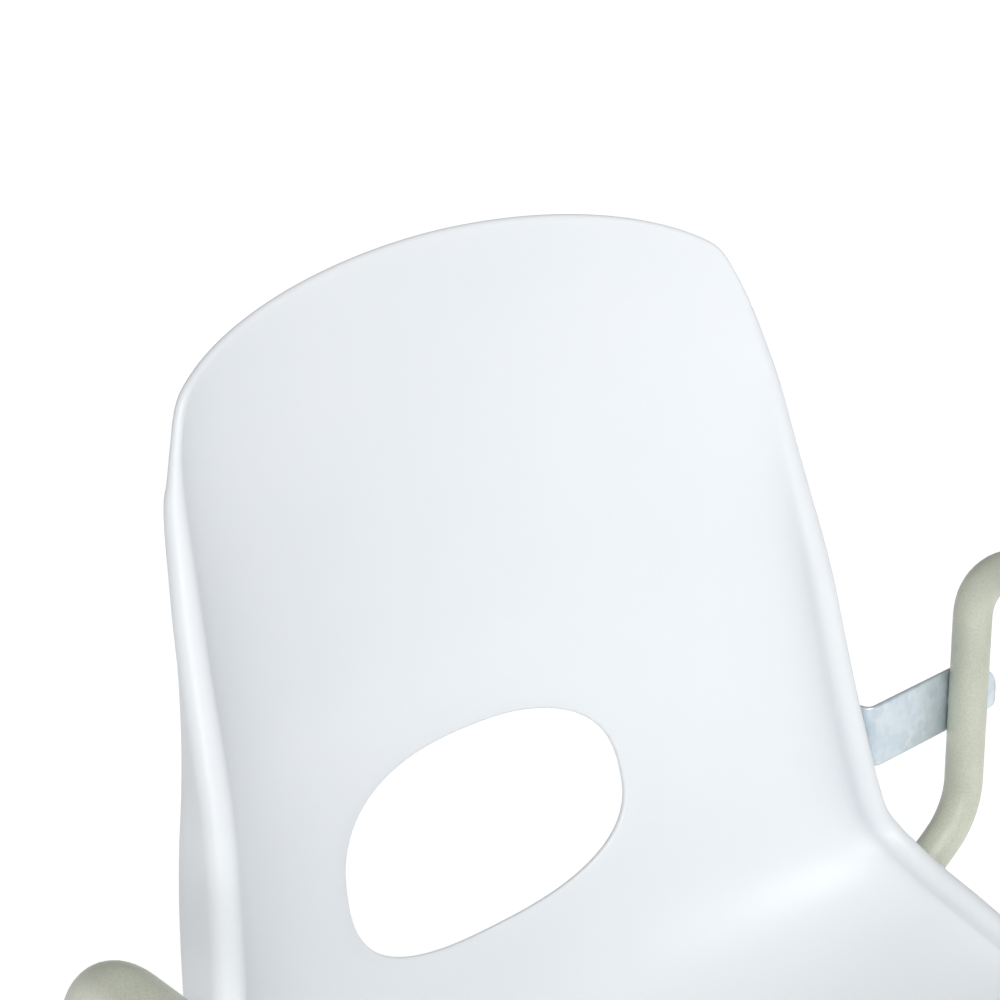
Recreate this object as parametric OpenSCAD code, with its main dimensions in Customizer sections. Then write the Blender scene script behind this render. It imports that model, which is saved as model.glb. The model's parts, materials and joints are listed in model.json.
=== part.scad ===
// Swivelling shower chair: a one-piece moulded seat shell with tubular arms, turning on a four-legged
// base with telescopic legs. Millimetres, +Z up, floor at Z = 0, the sitter faces -Y, and the sitter's
// left-hand side is +X. The swivel axis is the Z axis.

/* [Shell] */
// Height of the lowest point of the seat surface with the legs fully in
seat_z = 425; // [425:5:440]
// Thickness of the moulded wall
shell_wall = 4; // [3.5:0.5:4]
// Half width of the opening in the lower back
opening_half_w = 97; // [90:1:100]
// Half height of the opening, along the slope of the back
opening_half_h = 54; // [48:1:56]

/* [Arms] */
// Outer diameter of the arm and leg tubes
tube_d = 22; // [21:0.5:22.5]
// Wall of the arm and leg tubes
tube_wall = 1.5; // [1.2:0.1:1.6]
// Distance between the centre lines of the two rear arm posts
arm_spacing = 600; // [590:5:610]
// Radius of the arm bends, at the centre line
arm_bend = 38; // [34:1:40]
// Height of the armrest's rear corner above the seat
arm_rise = 212; // [200:2:216]

/* [Base] */
// Half spacing of the feet, side to side
foot_x = 268; // [260:2:272]
// Half spacing of the feet, front to back
foot_y = 285; // [280:1:288]
// Half spacing of the leg hoops where they carry the turntable
hoop_x = 205; // [200:1:210]
// Outer diameter of the telescopic inner legs
inner_leg_d = 18; // [17.5:0.1:18]
// Diameter of the rubber foot on the floor
foot_d = 38; // [34:1:40]

/* [Hidden] */

$fn = 48;
tube_r = tube_d / 2;

// ---- Colours ----
shell_white = [0.95, 0.96, 0.97];
tube_cream = [0.80, 0.81, 0.74];
zinc = [0.78, 0.82, 0.85];
rubber_grey = [0.30, 0.31, 0.32];
dark_plastic = [0.12, 0.12, 0.13];
steel = [0.70, 0.71, 0.72];

// ---- General helpers ----
function unit(v) = v / norm(v);
function smooth(t) = let (c = min(max(t, 0), 1)) c * c * c * (c * (6 * c - 15) + 10);

// A vector square to v
function across(v) = unit(cross(v, abs(v.z) < 0.9 * norm(v) ? [0, 0, 1] : [1, 0, 0]));

// Matrix whose columns are the axes x, y, z and the origin o
function placing(x, y, z, o) =
    [[x.x, y.x, z.x, o.x], [x.y, y.y, z.y, o.y], [x.z, y.z, z.z, o.z], [0, 0, 0, 1]];

// Puts its children with their Z axis along v and their origin at o
module along(o, v) {
    z = unit(v);
    x = across(z);
    multmatrix(placing(x, cross(z, x), z, o)) children();
}

// A round bar from a to b
module bar(a, b, r)
    along(a, b - a) cylinder(r = r, h = norm(b - a));

module pipe(a, b, r, bore) difference() {
    bar(a, b, r);
    bar(a - unit(b - a), b + unit(b - a), bore);
}

module mirrored() {
    children();
    mirror([1, 0, 0]) children();
}

// A hexagon across the flats, with a chamfered top
module hex_head(flats, h)
    intersection() {
        cylinder(r = flats / sqrt(3), h = h, $fn = 6);
        union() {
            cylinder(r = flats / 2 * 1.12, h = h * 0.75);
            translate([0, 0, h * 0.75]) cylinder(r1 = flats / 2 * 1.12, r2 = flats / 2 * 0.92, h = h * 0.25);
        }
    }

// ---- Bent tubes ----
// Angle turned at a corner from direction p to direction q
function turn(p, q) = acos(min(max(unit(p) * unit(q), -1), 1));
function corner_angle(path, i) = turn(path[i] - path[i - 1], path[i + 1] - path[i]);
function setback(path, i, bend) =
    i == 0 || i == len(path) - 1 ? 0 : bend * tan(corner_angle(path, i) / 2);

// A tube is one swept wall. Its stations are [point, direction] along the path, with a few in every
// bend, and each station carries one ring of points outside and one inside.
bend_steps = 6;
tube_sides = 20;
function rotated(v, axis, angle) = v * cos(angle) + cross(axis, v) * sin(angle);
function bend_stations(path, i, bend) = let (
        d1 = unit(path[i] - path[i - 1]), d2 = unit(path[i + 1] - path[i]), angle = corner_angle(path, i),
        centre = path[i] + unit(d2 - d1) * bend / cos(angle / 2),
        e1 = unit(path[i] - d1 * setback(path, i, bend) - centre), axis = cross(e1, d1))
    [for (k = [0 : bend_steps]) let (a = angle * k / bend_steps)
        [centre + bend * rotated(e1, axis, a), rotated(d1, axis, a)]];
function stations(path, bend) = let (n = len(path)) concat(
    [[path[0], unit(path[1] - path[0])]],
    [for (i = [1 : n - 2]) each bend_stations(path, i, bend)],
    [[path[n - 1], unit(path[n - 1] - path[n - 2])]]);
function squared(x, d) = unit(x - d * (x * d));
module swept_tube(path, bend) {
    st = stations(path, bend);
    n = len(st);
    sides = [for (i = 0, x = squared([0, 1, 0.01], st[0][1]); i < n;
        i = i + 1, x = squared(x, st[min(i, n - 1)][1])) x];
    rings = [for (r = [tube_r, tube_r - tube_wall]) for (i = [0 : n - 1]) for (k = [0 : tube_sides - 1])
        let (a = 360 * k / tube_sides)
        st[i][0] + r * (sides[i] * cos(a) + cross(st[i][1], sides[i]) * sin(a))];
    function at(layer, i, k) = (layer * n + i) * tube_sides + k % tube_sides;
    polyhedron(rings, concat(
        [for (i = [0 : n - 2], k = [0 : tube_sides - 1])
            [at(0, i, k), at(0, i + 1, k), at(0, i + 1, k + 1), at(0, i, k + 1)]],
        [for (i = [0 : n - 2], k = [0 : tube_sides - 1])
            [at(1, i, k), at(1, i, k + 1), at(1, i + 1, k + 1), at(1, i + 1, k)]],
        [for (k = [0 : tube_sides - 1]) [at(0, 0, k), at(0, 0, k + 1), at(1, 0, k + 1), at(1, 0, k)]],
        [for (k = [0 : tube_sides - 1])
            [at(0, n - 1, k), at(1, n - 1, k), at(1, n - 1, k + 1), at(0, n - 1, k + 1)]]));
}

// ---- The shell's surface ----
// The middle line of the seat and back, from the front edge (0) to the top of the back, is followed by
// distance. Its slope is level over the seat, turns up through the bend and stands nearly upright at the top.
front_y = -229.5;
front_drop = -18;
lip_slope = 58;
lip_length = 70;
seat_slope = -3;
bend_start = 285;
bend_end = 490;
back_slope = 75.5;
top_slope = 96;
middle_length = 816;
opening_at = 505;

// Half width and rim height of the shell at distances along the middle line
widths = [[0, 176], [60, 200], [160, 216], [280, 224], [350, 226], [430, 216.5], [510, 204.5], [600, 194],
    [700, 185], [750, 179], [middle_length, 170.5]];
depths = [[0, 2], [60, 6], [160, 11], [240, 18], [300, 38], [350, 52], [430, 63], [520, 70], [610, 70],
    [700, 53], [760, 34.5], [middle_length, 40.5]];
// The rim rolls over outwards in a half circle and goes on as a skirt: its outer radius, and the skirt.
// Towards the top of the back the roll shrinks to a bead as thick as the wall.
rim_radii = [[0, 8], [160, 9], [350, 9], [500, 8.8], [600, 8], [700, 7], [middle_length, 2.6]];
skirts = [[0, 12], [160, 16], [350, 21], [500, 21], [600, 21], [700, 6], [middle_length, 0.6]];
function rim_wall(s) = min(shell_wall, curve(rim_radii, s) - 0.3);
// The top edge falls, and the front edge runs back, towards the corners
top_fall = 43;
top_fall_power = 1.8;
top_fall_starts = 722;
front_fall = 34;
front_fall_ends = 110;
section_power = 1.25;
// The sheet's corners are drawn in to quarter circles of these radii
corner_top = 27;
corner_front = 30;

function slope(s) = seat_slope + (lip_slope - seat_slope) * (1 - smooth(s / lip_length))
    + (back_slope - seat_slope) * smooth((s - bend_start) / (bend_end - bend_start))
    + (top_slope - back_slope) * min(max((s - bend_end) / (middle_length - bend_end), 0), 1);

step = 4;
steps = middle_length / step;
middle = [for (i = 0, p = [front_y, seat_z + front_drop]; i <= steps;
    p = p + step * [cos(slope((i + 0.5) * step)), sin(slope((i + 0.5) * step))], i = i + 1) p];
function middle_at(s) = let (i = min(max(floor(s / step), 0), steps - 1))
    middle[i] + (s / step - i) * (middle[i + 1] - middle[i]);

// Smooth curve through a list of [distance, value] knots
function knot_rise(k, i) = let (a = max(i - 1, 0), b = min(i + 1, len(k) - 1))
    (k[b][1] - k[a][1]) / (k[b][0] - k[a][0]);
function knot_span(k, s, i = 0) = i >= len(k) - 2 || s <= k[i + 1][0] ? i : knot_span(k, s, i + 1);
function curve(k, s) = let (i = knot_span(k, s), w = k[i + 1][0] - k[i][0], t = (s - k[i][0]) / w)
    (2 * t * t * t - 3 * t * t + 1) * k[i][1] + (t * t * t - 2 * t * t + t) * w * knot_rise(k, i)
    + (3 * t * t - 2 * t * t * t) * k[i + 1][1] + (t * t * t - t * t) * w * knot_rise(k, i + 1);

// Point of the sitter's side: s along the middle line, u across from -1 to 1
function shell_point(s, u) = let (
        v = s - top_fall * pow(abs(u), top_fall_power)
                * smooth((s - top_fall_starts) / (middle_length - top_fall_starts))
            + front_fall * pow(abs(u), 4) * smooth((front_fall_ends - s) / front_fall_ends),
        angle = 90 * u, rise = curve(depths, v) * (1 - pow(max(cos(angle), 0), section_power)),
        m = middle_at(v), a = slope(v))
    [curve(widths, v) * sin(angle), m.x - rise * sin(a), m.y + rise * cos(a)];

// The opening is a ring of grid lines drawn out to its own outline. It is described by millimetres
// across (x) and along (y) from its centre, and the grid relaxes to regular within a short distance.
opening_power = 2.5;
relax = 1.9;
opening_width = curve(widths, opening_at);
block = [0.88 * opening_half_w, 0.88 * opening_half_h];
function outline_scale(p) = pow(pow(abs(p.x / opening_half_w), opening_power)
    + pow(abs(p.y / opening_half_h), opening_power), -1 / opening_power);
function opened(s, u) = let (
        p = [opening_width * sin(90 * u), s - opening_at],
        reach = max(abs(p.x) / block.x, abs(p.y) / block.y))
    reach >= relax || reach < 0.99 ? [s, u]
    : let (pull = 1 + (outline_scale(p / reach) - 1) * (1 - smooth((reach - 1) / (relax - 1))))
        [opening_at + p.y * pull, asin(min(max(p.x * pull / opening_width, -1), 1)) / 90];

// Grid lines: the opening's edges lie on lines of the grid
edge_u = asin(block.x / opening_width) / 90;
cells_u = 6;
us = concat([for (i = [0 : 8]) -1 + (1 - edge_u) * i / 9],
    [for (i = [0 : 2 * cells_u]) edge_u * (i - cells_u) / cells_u],
    [for (i = [1 : 9]) edge_u + (1 - edge_u) * i / 9]);
low_s = opening_at - block.y;
high_s = opening_at + block.y;
rows_low = 24;
rows_mid = 8;
rows_high = 17;
ss = concat([for (i = [0 : rows_low]) low_s * i / rows_low],
    [for (i = [1 : rows_mid]) low_s + (high_s - low_s) * i / rows_mid],
    [for (i = [1 : rows_high]) high_s + (middle_length - high_s) * i / rows_high]);
nu = len(us);
ns = len(ss);
in_opening = function (i, j) i >= 9 && i < 9 + 2 * cells_u && j >= rows_low && j < rows_low + rows_mid;

function cornered(s, u) = let (
        top = s > opening_at, size = top ? corner_top : corner_front,
        ahead = (top ? s - middle_length + size : size - s) / size,
        span = 0.75 * size / curve(widths, s), across = (abs(u) - 1 + span) / span)
    ahead <= 0 || across <= 0 ? [s, u]
    : let (reach = size * ahead * sqrt(1 - across * across / 2))
        [top ? middle_length - size + reach : size - reach,
            sign(u) * (1 - span + span * across * sqrt(1 - ahead * ahead / 2))];

function placed(s, u) = let (q = cornered(s, u)) opened(q[0], q[1]);
function on_shell(s, u) = let (q = placed(s, u)) shell_point(q[0], q[1]);
function shell_normal(s, u) = let (q = placed(s, u), d = 0.02,
        su = shell_point(q[0], min(q[1] + d, 1)) - shell_point(q[0], max(q[1] - d, -1)),
        sv = shell_point(min(q[0] + 3, middle_length), q[1]) - shell_point(max(q[0] - 3, 0), q[1]))
    unit(cross(su, sv));

inner = [for (s = ss, u = us) on_shell(s, u)];
normals = [for (s = ss, u = us) shell_normal(s, u)];
outer = [for (j = [0 : ns - 1], i = [0 : nu - 1]) let (
        k = j * nu + i, at_edge = i == 0 || i == nu - 1 || j == 0 || j == ns - 1)
    inner[k] - (at_edge ? rim_wall(ss[j]) : shell_wall) * normals[k]];

// Loops of grid indices, each walked so that the wall lies on its left
outer_loop = concat([for (i = [0 : nu - 2]) i], [for (j = [0 : ns - 2]) j * nu + nu - 1],
    [for (i = [nu - 1 : -1 : 1]) (ns - 1) * nu + i], [for (j = [ns - 1 : -1 : 1]) j * nu]);
i0 = 9;
i1 = 9 + 2 * cells_u;
j0 = rows_low;
j1 = rows_low + rows_mid;
opening_loop = concat([for (j = [j0 : j1 - 1]) j * nu + i0], [for (i = [i0 : i1 - 1]) j1 * nu + i],
    [for (j = [j1 : -1 : j0 + 1]) j * nu + i1], [for (i = [i1 : -1 : i0 + 1]) j0 * nu + i]);

// Rim points: a half circle outside, the end of the skirt, and the same half circle inside.
// Each station is [1 on the outside or 0 on the inside, angle round the roll, part of the skirt].
roll = [45, 90, 135, 180];
rim_stations = concat([for (a = roll) [1, a, 0]], [[1, 180, 1], [0, 180, 1]],
    [for (i = [3 : -1 : 0]) [0, roll[i], 0]]);
function rim_point(k, station) = let (n = len(outer_loop), here = outer_loop[k],
        ahead = inner[outer_loop[(k + 1) % n]] - inner[outer_loop[(k + n - 1) % n]],
        up = normals[here], out = unit(cross(ahead, up)), s = ss[floor(here / nu)],
        r = curve(rim_radii, s), reach = r - (1 - station[0]) * rim_wall(s))
    inner[here] - r * up + reach * (up * cos(station[1]) + out * sin(station[1]))
        - out * station[2] * curve(skirts, s);

grid_count = nu * ns;
loop_count = len(outer_loop);
rim_points = [for (st = rim_stations, k = [0 : loop_count - 1]) rim_point(k, st)];
function rim_index(level, k) = level < 0 ? outer_loop[k % loop_count]
    : level >= len(rim_stations) ? grid_count + outer_loop[k % loop_count]
    : 2 * grid_count + level * loop_count + k % loop_count;

shell_faces = concat(
    [for (j = [0 : ns - 2], i = [0 : nu - 2]) if (!in_opening(i, j)) let (a = j * nu + i)
        each [[a, a + nu, a + nu + 1], [a, a + nu + 1, a + 1]]],
    [for (j = [0 : ns - 2], i = [0 : nu - 2]) if (!in_opening(i, j)) let (a = grid_count + j * nu + i)
        each [[a, a + nu + 1, a + nu], [a, a + 1, a + nu + 1]]],
    [for (level = [-1 : len(rim_stations) - 1], k = [0 : loop_count - 1]) let (
            a = rim_index(level, k), b = rim_index(level, k + 1),
            c = rim_index(level + 1, k + 1), d = rim_index(level + 1, k))
        each [[a, b, c], [a, c, d]]],
    [for (k = [0 : len(opening_loop) - 1]) let (
            a = opening_loop[k], b = opening_loop[(k + 1) % len(opening_loop)])
        each [[a, b, b + grid_count], [a, b + grid_count, a + grid_count]]]);

module seat_shell()
    color(shell_white) polyhedron(points = concat(inner, outer, rim_points), faces = shell_faces);

// ---- Heights of the stack under the seat ----
rail_top = seat_z - 20;
rail_h = 30;
rail_w = 20;
rail_x = 60;
rail_front = -208;
rail_rear = 120;
socket_z = rail_top - rail_h / 2;
plate_t = 4;
top_plate_z = rail_top - rail_h - plate_t;
race_h = 5.5;
race_gap = 1;
ball_z = top_plate_z - race_h - race_gap / 2;
bottom_plate_top = ball_z - race_gap / 2 - race_h;
bottom_plate_z = bottom_plate_top - plate_t;
cross_rail_w = 25;
cross_rail_y = 65;
hoop_z = bottom_plate_z - cross_rail_w / 2;

// ---- Arms ----
rear_post_y = 102;
front_post_y = -190;
post_x = arm_spacing / 2;
front_splay = 7;
arm_top_z = seat_z + arm_rise;
front_top_z = arm_top_z - 15;
rear_bottom_z = seat_z + 49;
front_bottom_z = seat_z + 7;
arm_inner_x = 166;
socket_end = 150;
arm_end_x = 95;
arm_path = [[arm_end_x, rear_post_y, socket_z], [arm_inner_x, rear_post_y, socket_z],
    [post_x, rear_post_y, rear_bottom_z], [post_x, rear_post_y, arm_top_z],
    [post_x + front_splay, front_post_y, front_top_z], [post_x, front_post_y, front_bottom_z],
    [arm_inner_x, front_post_y, socket_z], [arm_end_x, front_post_y, socket_z]];

module left_arm_tube()
    color(tube_cream) swept_tube(arm_path, arm_bend);
module right_arm_tube()
    color(tube_cream) mirror([1, 0, 0]) swept_tube(arm_path, arm_bend);

// ---- Carrier under the shell ----
socket_r = tube_r + 1.7;
socket_bore = tube_r + 0.1;

module socket_tube(y) difference() {
    pipe([-socket_end, y, socket_z], [socket_end, y, socket_z], socket_r, socket_bore);
    for (x = [-1, 1] * clamp_screw_x)
        translate([x, y, socket_z - socket_r - 1]) cylinder(r = screw_r + 0.1, h = 4);
}
module front_socket_tube()
    color(zinc) socket_tube(front_post_y);
module rear_socket_tube()
    color(zinc) socket_tube(rear_post_y);

// Screws that clamp the arm ends in the sockets, from below
clamp_screw_x = 128;
module arm_clamp_screws()
    color(steel) for (x = [-1, 1] * clamp_screw_x, y = [front_post_y, rear_post_y])
        translate([x, y, socket_z - socket_r - 0.1]) {
            cylinder(r = screw_r, h = 1.6);
            translate([0, 0, -4]) cylinder(r = 7, h = 4);
            translate([0, 0, -6]) cylinder(r1 = 5.5, r2 = 7, h = 2);
        }

// Shell bolts pass up through the rails and spacers into the shell's bosses
bolt_ys = [-150, 86];
bolt_r = 3;
function under_shell(y) = lookup(y, [for (p = middle) if (p.x < 100) [p.x, p.y]]) - shell_wall;

module rail() difference() {
    translate([rail_x - rail_w / 2, rail_front, rail_top - rail_h])
        cube([rail_w, rail_rear - rail_front, rail_h]);
    translate([rail_x - rail_w / 2 + 2, rail_front - 1, rail_top - rail_h + 2])
        cube([rail_w - 4, rail_rear - rail_front + 2, rail_h - 4]);
    for (y = [front_post_y, rear_post_y])
        bar([0, y, socket_z], [2 * rail_x, y, socket_z], socket_r);
    for (y = bolt_ys)
        translate([rail_x, y, rail_top - rail_h - 1]) cylinder(r = bolt_r + 0.25, h = rail_h + 2);
}
module left_rail()
    color(zinc) rail();
module right_rail()
    color(zinc) mirror([1, 0, 0]) rail();

spacer_r = 14;
module shell_spacers()
    color(dark_plastic) mirrored() for (y = bolt_ys) difference() {
        translate([rail_x, y, rail_top]) cylinder(r = spacer_r, h = under_shell(y) + 2.2 - rail_top);
        translate([rail_x, y, rail_top - 1])
            cylinder(r = bolt_r + 0.25, h = under_shell(y) - rail_top);
    }

module shell_bolts()
    color(zinc) mirrored() for (y = bolt_ys) translate([rail_x, y, rail_top - rail_h]) {
        cylinder(r = bolt_r, h = under_shell(y) - 2 - rail_top + rail_h);
        translate([0, 0, -1.2]) cylinder(r = 7, h = 1.2);
        translate([0, 0, -1.2]) mirror([0, 0, 1]) hex_head(10, 4);
    }

// ---- Back straps ----
strap_t = 3;
strap_h = 38;
strap_z = seat_z + 117;
strap_y = rear_post_y + tube_r;
tab_length = 30;
// The outermost line of the rim at the strap's lower and upper edges
strap_low_s = 463;
strap_high_s = 503;
function rim_side(s) = curve(widths, s) + 2 * curve(rim_radii, s);
strap_inner_low = rim_side(strap_low_s) + 0.3;
strap_inner_high = rim_side(strap_high_s) + 0.3;
low_z = strap_z - strap_h / 2;
high_z = strap_z + strap_h / 2;

// Past the post the strap runs on as a tail. Its top edge falls to a round end, and its foot has a small round.
tail_x = post_x + 43;
tail_r = 13;
tail_corner_r = 3;
tail_centre = [tail_x - tail_r, low_z + tail_r];
fall_from = [post_x + 4, high_z];
fall = tail_centre - fall_from;
fall_angle = atan2(fall.y, fall.x) + asin(tail_r / norm(fall));
fall_to = fall_from + sqrt(fall * fall - tail_r * tail_r) * [cos(fall_angle), sin(fall_angle)];

// Draws an outline given in X and Z, and gives it a depth backwards from y
module upright(y, depth)
    translate([0, y + depth, 0]) rotate([90, 0, 0]) linear_extrude(depth) children();

module strap() difference() {
    union() {
        upright(strap_y, strap_t) union() {
            polygon([[strap_inner_low, low_z], [tail_x - tail_corner_r, low_z], [tail_x, low_z + tail_corner_r],
                [tail_x, low_z + tail_r], fall_to, fall_from, [strap_inner_high, high_z]]);
            translate(tail_centre) circle(r = tail_r);
            translate([tail_x - tail_corner_r, low_z + tail_corner_r]) circle(r = tail_corner_r);
        }
        upright(strap_y, tab_length) polygon([[strap_inner_low, low_z], [strap_inner_low + strap_t, low_z],
            [strap_inner_high + strap_t, high_z], [strap_inner_high, high_z]]);
    }
    bar([post_x, strap_y - 1, strap_z], [post_x, strap_y + strap_t + 1, strap_z], 4.1);
    at_tab_screw() translate([0, 0, -5]) cylinder(r = tab_screw_r + 0.1, h = 15);
}
module left_back_strap()
    color(zinc) strap();
module right_back_strap()
    color(zinc) mirror([1, 0, 0]) strap();

module strap_post_bolts()
    color(zinc) mirrored() translate([post_x, strap_y + strap_t, strap_z]) rotate([-90, 0, 0]) {
        cylinder(r = 8, h = 1.6);
        translate([0, 0, 1.6]) hex_head(13, 5);
        translate([0, 0, -strap_t - 1]) cylinder(r = 4, h = strap_t + 1);
    }

// Screws through the tab into the skirt of the shell. Z runs outwards, square to the slanting tab.
tab_screw_y = strap_y + 19;
tab_screw_r = 2.5;
tab_slant = atan((strap_inner_low - strap_inner_high) / strap_h);
module at_tab_screw()
    translate([(strap_inner_low + strap_inner_high) / 2, tab_screw_y, strap_z])
        rotate([0, 90 - tab_slant, 0]) children();
module strap_shell_screws() color(zinc) mirrored() at_tab_screw() {
    translate([0, 0, strap_t + 0.02]) cylinder(r = 7, h = 1.2);
    translate([0, 0, strap_t + 1.22]) cylinder(r1 = 5.5, r2 = 4, h = 2.6);
    translate([0, 0, -3]) cylinder(r = tab_screw_r, h = strap_t + 3.1);
}

// ---- Turntable ----
race_in = 60;
race_out = 80;
race_r = (race_in + race_out) / 2;
ball_r = 3.175;
groove_r = 3.25;
ball_count = 28;
pivot_r = 6;
lock_r = 88;
lock_pin_r = 4;
lever_pivot_x = 118;
top_plate_x = 128;
top_plate_y = 75;
bottom_plate_half = 100;
plate_corner = 14;

// A square plate with round corners
module rounded_plate(hx, hy, r, t) {
    translate([-hx + r, -hy, 0]) cube([2 * (hx - r), 2 * hy, t]);
    translate([-hx, -hy + r, 0]) cube([2 * hx, 2 * (hy - r), t]);
    for (x = [-1, 1], y = [-1, 1]) translate([x * (hx - r), y * (hy - r), 0]) cylinder(r = r, h = t);
}

module turntable_top_plate() color(zinc) translate([0, 0, top_plate_z]) difference() {
    rounded_plate(top_plate_x, top_plate_y, plate_corner, plate_t);
    translate([0, 0, -1]) cylinder(r = pivot_r + 3, h = plate_t + 2);
    translate([-lock_r, 0, -1]) cylinder(r = lock_pin_r + 0.5, h = plate_t + 2);
}

module race_ring(z) translate([0, 0, z]) difference() {
    cylinder(r = race_out, h = race_h);
    translate([0, 0, -1]) cylinder(r = race_in, h = race_h + 2);
    translate([0, 0, ball_z - z]) rotate_extrude() translate([race_r, 0]) circle(r = groove_r);
}
module upper_race_ring()
    color(steel) race_ring(top_plate_z - race_h);
module lower_race_ring()
    color(steel) race_ring(bottom_plate_top);

module bearing_balls()
    color(steel) for (i = [0 : ball_count - 1]) rotate([0, 0, 360 * i / ball_count])
        translate([race_r, 0, ball_z]) sphere(r = ball_r);

module pivot_bush() color(shell_white) translate([0, 0, top_plate_z]) difference() {
    union() {
        cylinder(r = pivot_r + 3, h = plate_t);
        translate([0, 0, plate_t]) cylinder(r = pivot_r + 7, h = 2);
    }
    translate([0, 0, -1]) cylinder(r = pivot_r + 0.05, h = plate_t + 4);
}

pivot_head_z = top_plate_z + plate_t + 2 + 0.4;
module pivot_bolt() color(zinc) {
    translate([0, 0, bottom_plate_z - 14]) cylinder(r = pivot_r, h = pivot_head_z + 2 - bottom_plate_z + 14);
    translate([0, 0, pivot_head_z + 2]) hex_head(19, 7);
}
module pivot_nut() color(zinc) translate([0, 0, bottom_plate_z - 2]) mirror([0, 0, 1]) difference() {
    hex_head(19, 9);
    translate([0, 0, -1]) cylinder(r = pivot_r, h = 12);
}
module washer(z, r, bore, t) translate([0, 0, z]) difference() {
    cylinder(r = r, h = t);
    translate([0, 0, -1]) cylinder(r = bore, h = t + 2);
}
module pivot_washers() color(zinc) {
    washer(pivot_head_z, 12, pivot_r, 2);
    washer(bottom_plate_z - 2, 12, pivot_r, 2);
}

plate_bolt_x = 80;
plate_bolt_r = 4;
index_hole_r = 5;
module turntable_bottom_plate() color(zinc) translate([0, 0, bottom_plate_z]) difference() {
    rounded_plate(bottom_plate_half, bottom_plate_half, plate_corner, plate_t);
    translate([0, 0, -1]) cylinder(r = pivot_r + 0.25, h = plate_t + 2);
    for (a = [0 : 90 : 270]) rotate([0, 0, a])
        translate([lock_r, 0, -1]) cylinder(r = index_hole_r, h = plate_t + 2);
    for (x = [-1, 1] * plate_bolt_x, y = [-1, 1] * cross_rail_y)
        translate([x, y, -1]) cylinder(r = plate_bolt_r + 0.25, h = plate_t + 2);
}
module plate_bolts()
    color(zinc) for (x = [-1, 1] * plate_bolt_x, y = [-1, 1] * cross_rail_y)
        translate([x, y, bottom_plate_top]) {
            hex_head(13, 5.3);
            translate([0, 0, -plate_t - cross_rail_w - 9])
                cylinder(r = plate_bolt_r, h = plate_t + cross_rail_w + 10);
        }
module plate_nuts()
    color(zinc) for (x = [-1, 1] * plate_bolt_x, y = [-1, 1] * cross_rail_y)
        translate([x, y, bottom_plate_z - cross_rail_w]) mirror([0, 0, 1]) difference() {
            hex_head(13, 6.5);
            translate([0, 0, -1]) cylinder(r = plate_bolt_r, h = 9);
        }

// ---- Swivel lock, on the sitter's right ----
pin_clearance = 2;
pin_bottom = bottom_plate_top + pin_clearance;
lever_z = top_plate_z + plate_t + 21;
pin_head = 8;
guide_h = 5;
cross_pin_r = 2.5;
cross_pin_half = 12;
lever_t = 5;
lever_h = 14;
lever_end_x = 200;

module lock_pin_guide() color(zinc) translate([-lock_r, 0, top_plate_z + plate_t]) difference() {
    cylinder(r = 8, h = guide_h);
    translate([0, 0, -1]) cylinder(r = lock_pin_r + 0.05, h = guide_h + 2);
}
module lock_pin() color(steel) difference() {
    union() {
        translate([-lock_r, 0, pin_bottom + 1])
            cylinder(r = lock_pin_r, h = lever_z + pin_head - pin_bottom - 1);
        translate([-lock_r, 0, pin_bottom]) cylinder(r1 = lock_pin_r - 1, r2 = lock_pin_r, h = 1);
    }
    bar([-lock_r, -10, lever_z], [-lock_r, 10, lever_z], cross_pin_r);
}
module lock_cross_pin()
    color(steel) bar([-lock_r, -cross_pin_half, lever_z], [-lock_r, cross_pin_half, lever_z], cross_pin_r);

// The lever's near end is a fork of two prongs, one each side of the lock pin, whose open slots
// take the cross pin
fork_gap = 9.2;
fork_t = 3;
fork_h = 10;
fork_start = 12;
fork_end_x = lock_r - 7;
module lock_lever() color(zinc) difference() {
    union() {
        translate([-lever_end_x, -lever_t / 2, lever_z - lever_h / 2])
            cube([lever_end_x - lever_pivot_x + fork_start + 2, lever_t, lever_h]);
        for (y = [-fork_gap / 2 - fork_t, fork_gap / 2])
            translate([-lever_pivot_x + fork_start, y, lever_z - fork_h / 2])
                cube([lever_pivot_x - fork_start - fork_end_x, fork_t, fork_h]);
        translate([-lever_pivot_x + fork_start, -fork_gap / 2 - fork_t, lever_z - fork_h / 2])
            cube([4, fork_gap + 2 * fork_t, fork_h]);
    }
    bar([-lever_pivot_x, -10, lever_z], [-lever_pivot_x, 10, lever_z], pivot_pin_r + 0.05);
    translate([-lock_r - 4, -10, lever_z - cross_pin_r - 0.4]) cube([12, 20, 2 * cross_pin_r + 0.8]);
}
grip_r = 9;
grip_length = 56;
module lever_grip() color(dark_plastic) difference() {
    union() {
        bar([-lever_end_x - 4, 0, lever_z], [-lever_end_x - 4 + grip_length, 0, lever_z], grip_r);
        translate([-lever_end_x - 4, 0, lever_z]) sphere(r = grip_r);
    }
    translate([-lever_end_x, -lever_t / 2, lever_z - lever_h / 2]) cube([grip_length + 10, lever_t, lever_h]);
}
pivot_pin_r = 3;
ear_gap = 6.4;
ear_t = 3;
module lever_bracket() color(zinc) for (side = [-1, 1]) difference() {
    union() {
        translate([-lever_pivot_x - 8, side > 0 ? ear_gap / 2 : -ear_gap / 2 - ear_t, top_plate_z + plate_t])
            cube([16, ear_t, lever_z - top_plate_z - plate_t]);
        bar([-lever_pivot_x, side * ear_gap / 2, lever_z],
            [-lever_pivot_x, side * (ear_gap / 2 + ear_t), lever_z], 8);
    }
    bar([-lever_pivot_x, -12, lever_z], [-lever_pivot_x, 12, lever_z], pivot_pin_r);
}
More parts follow.
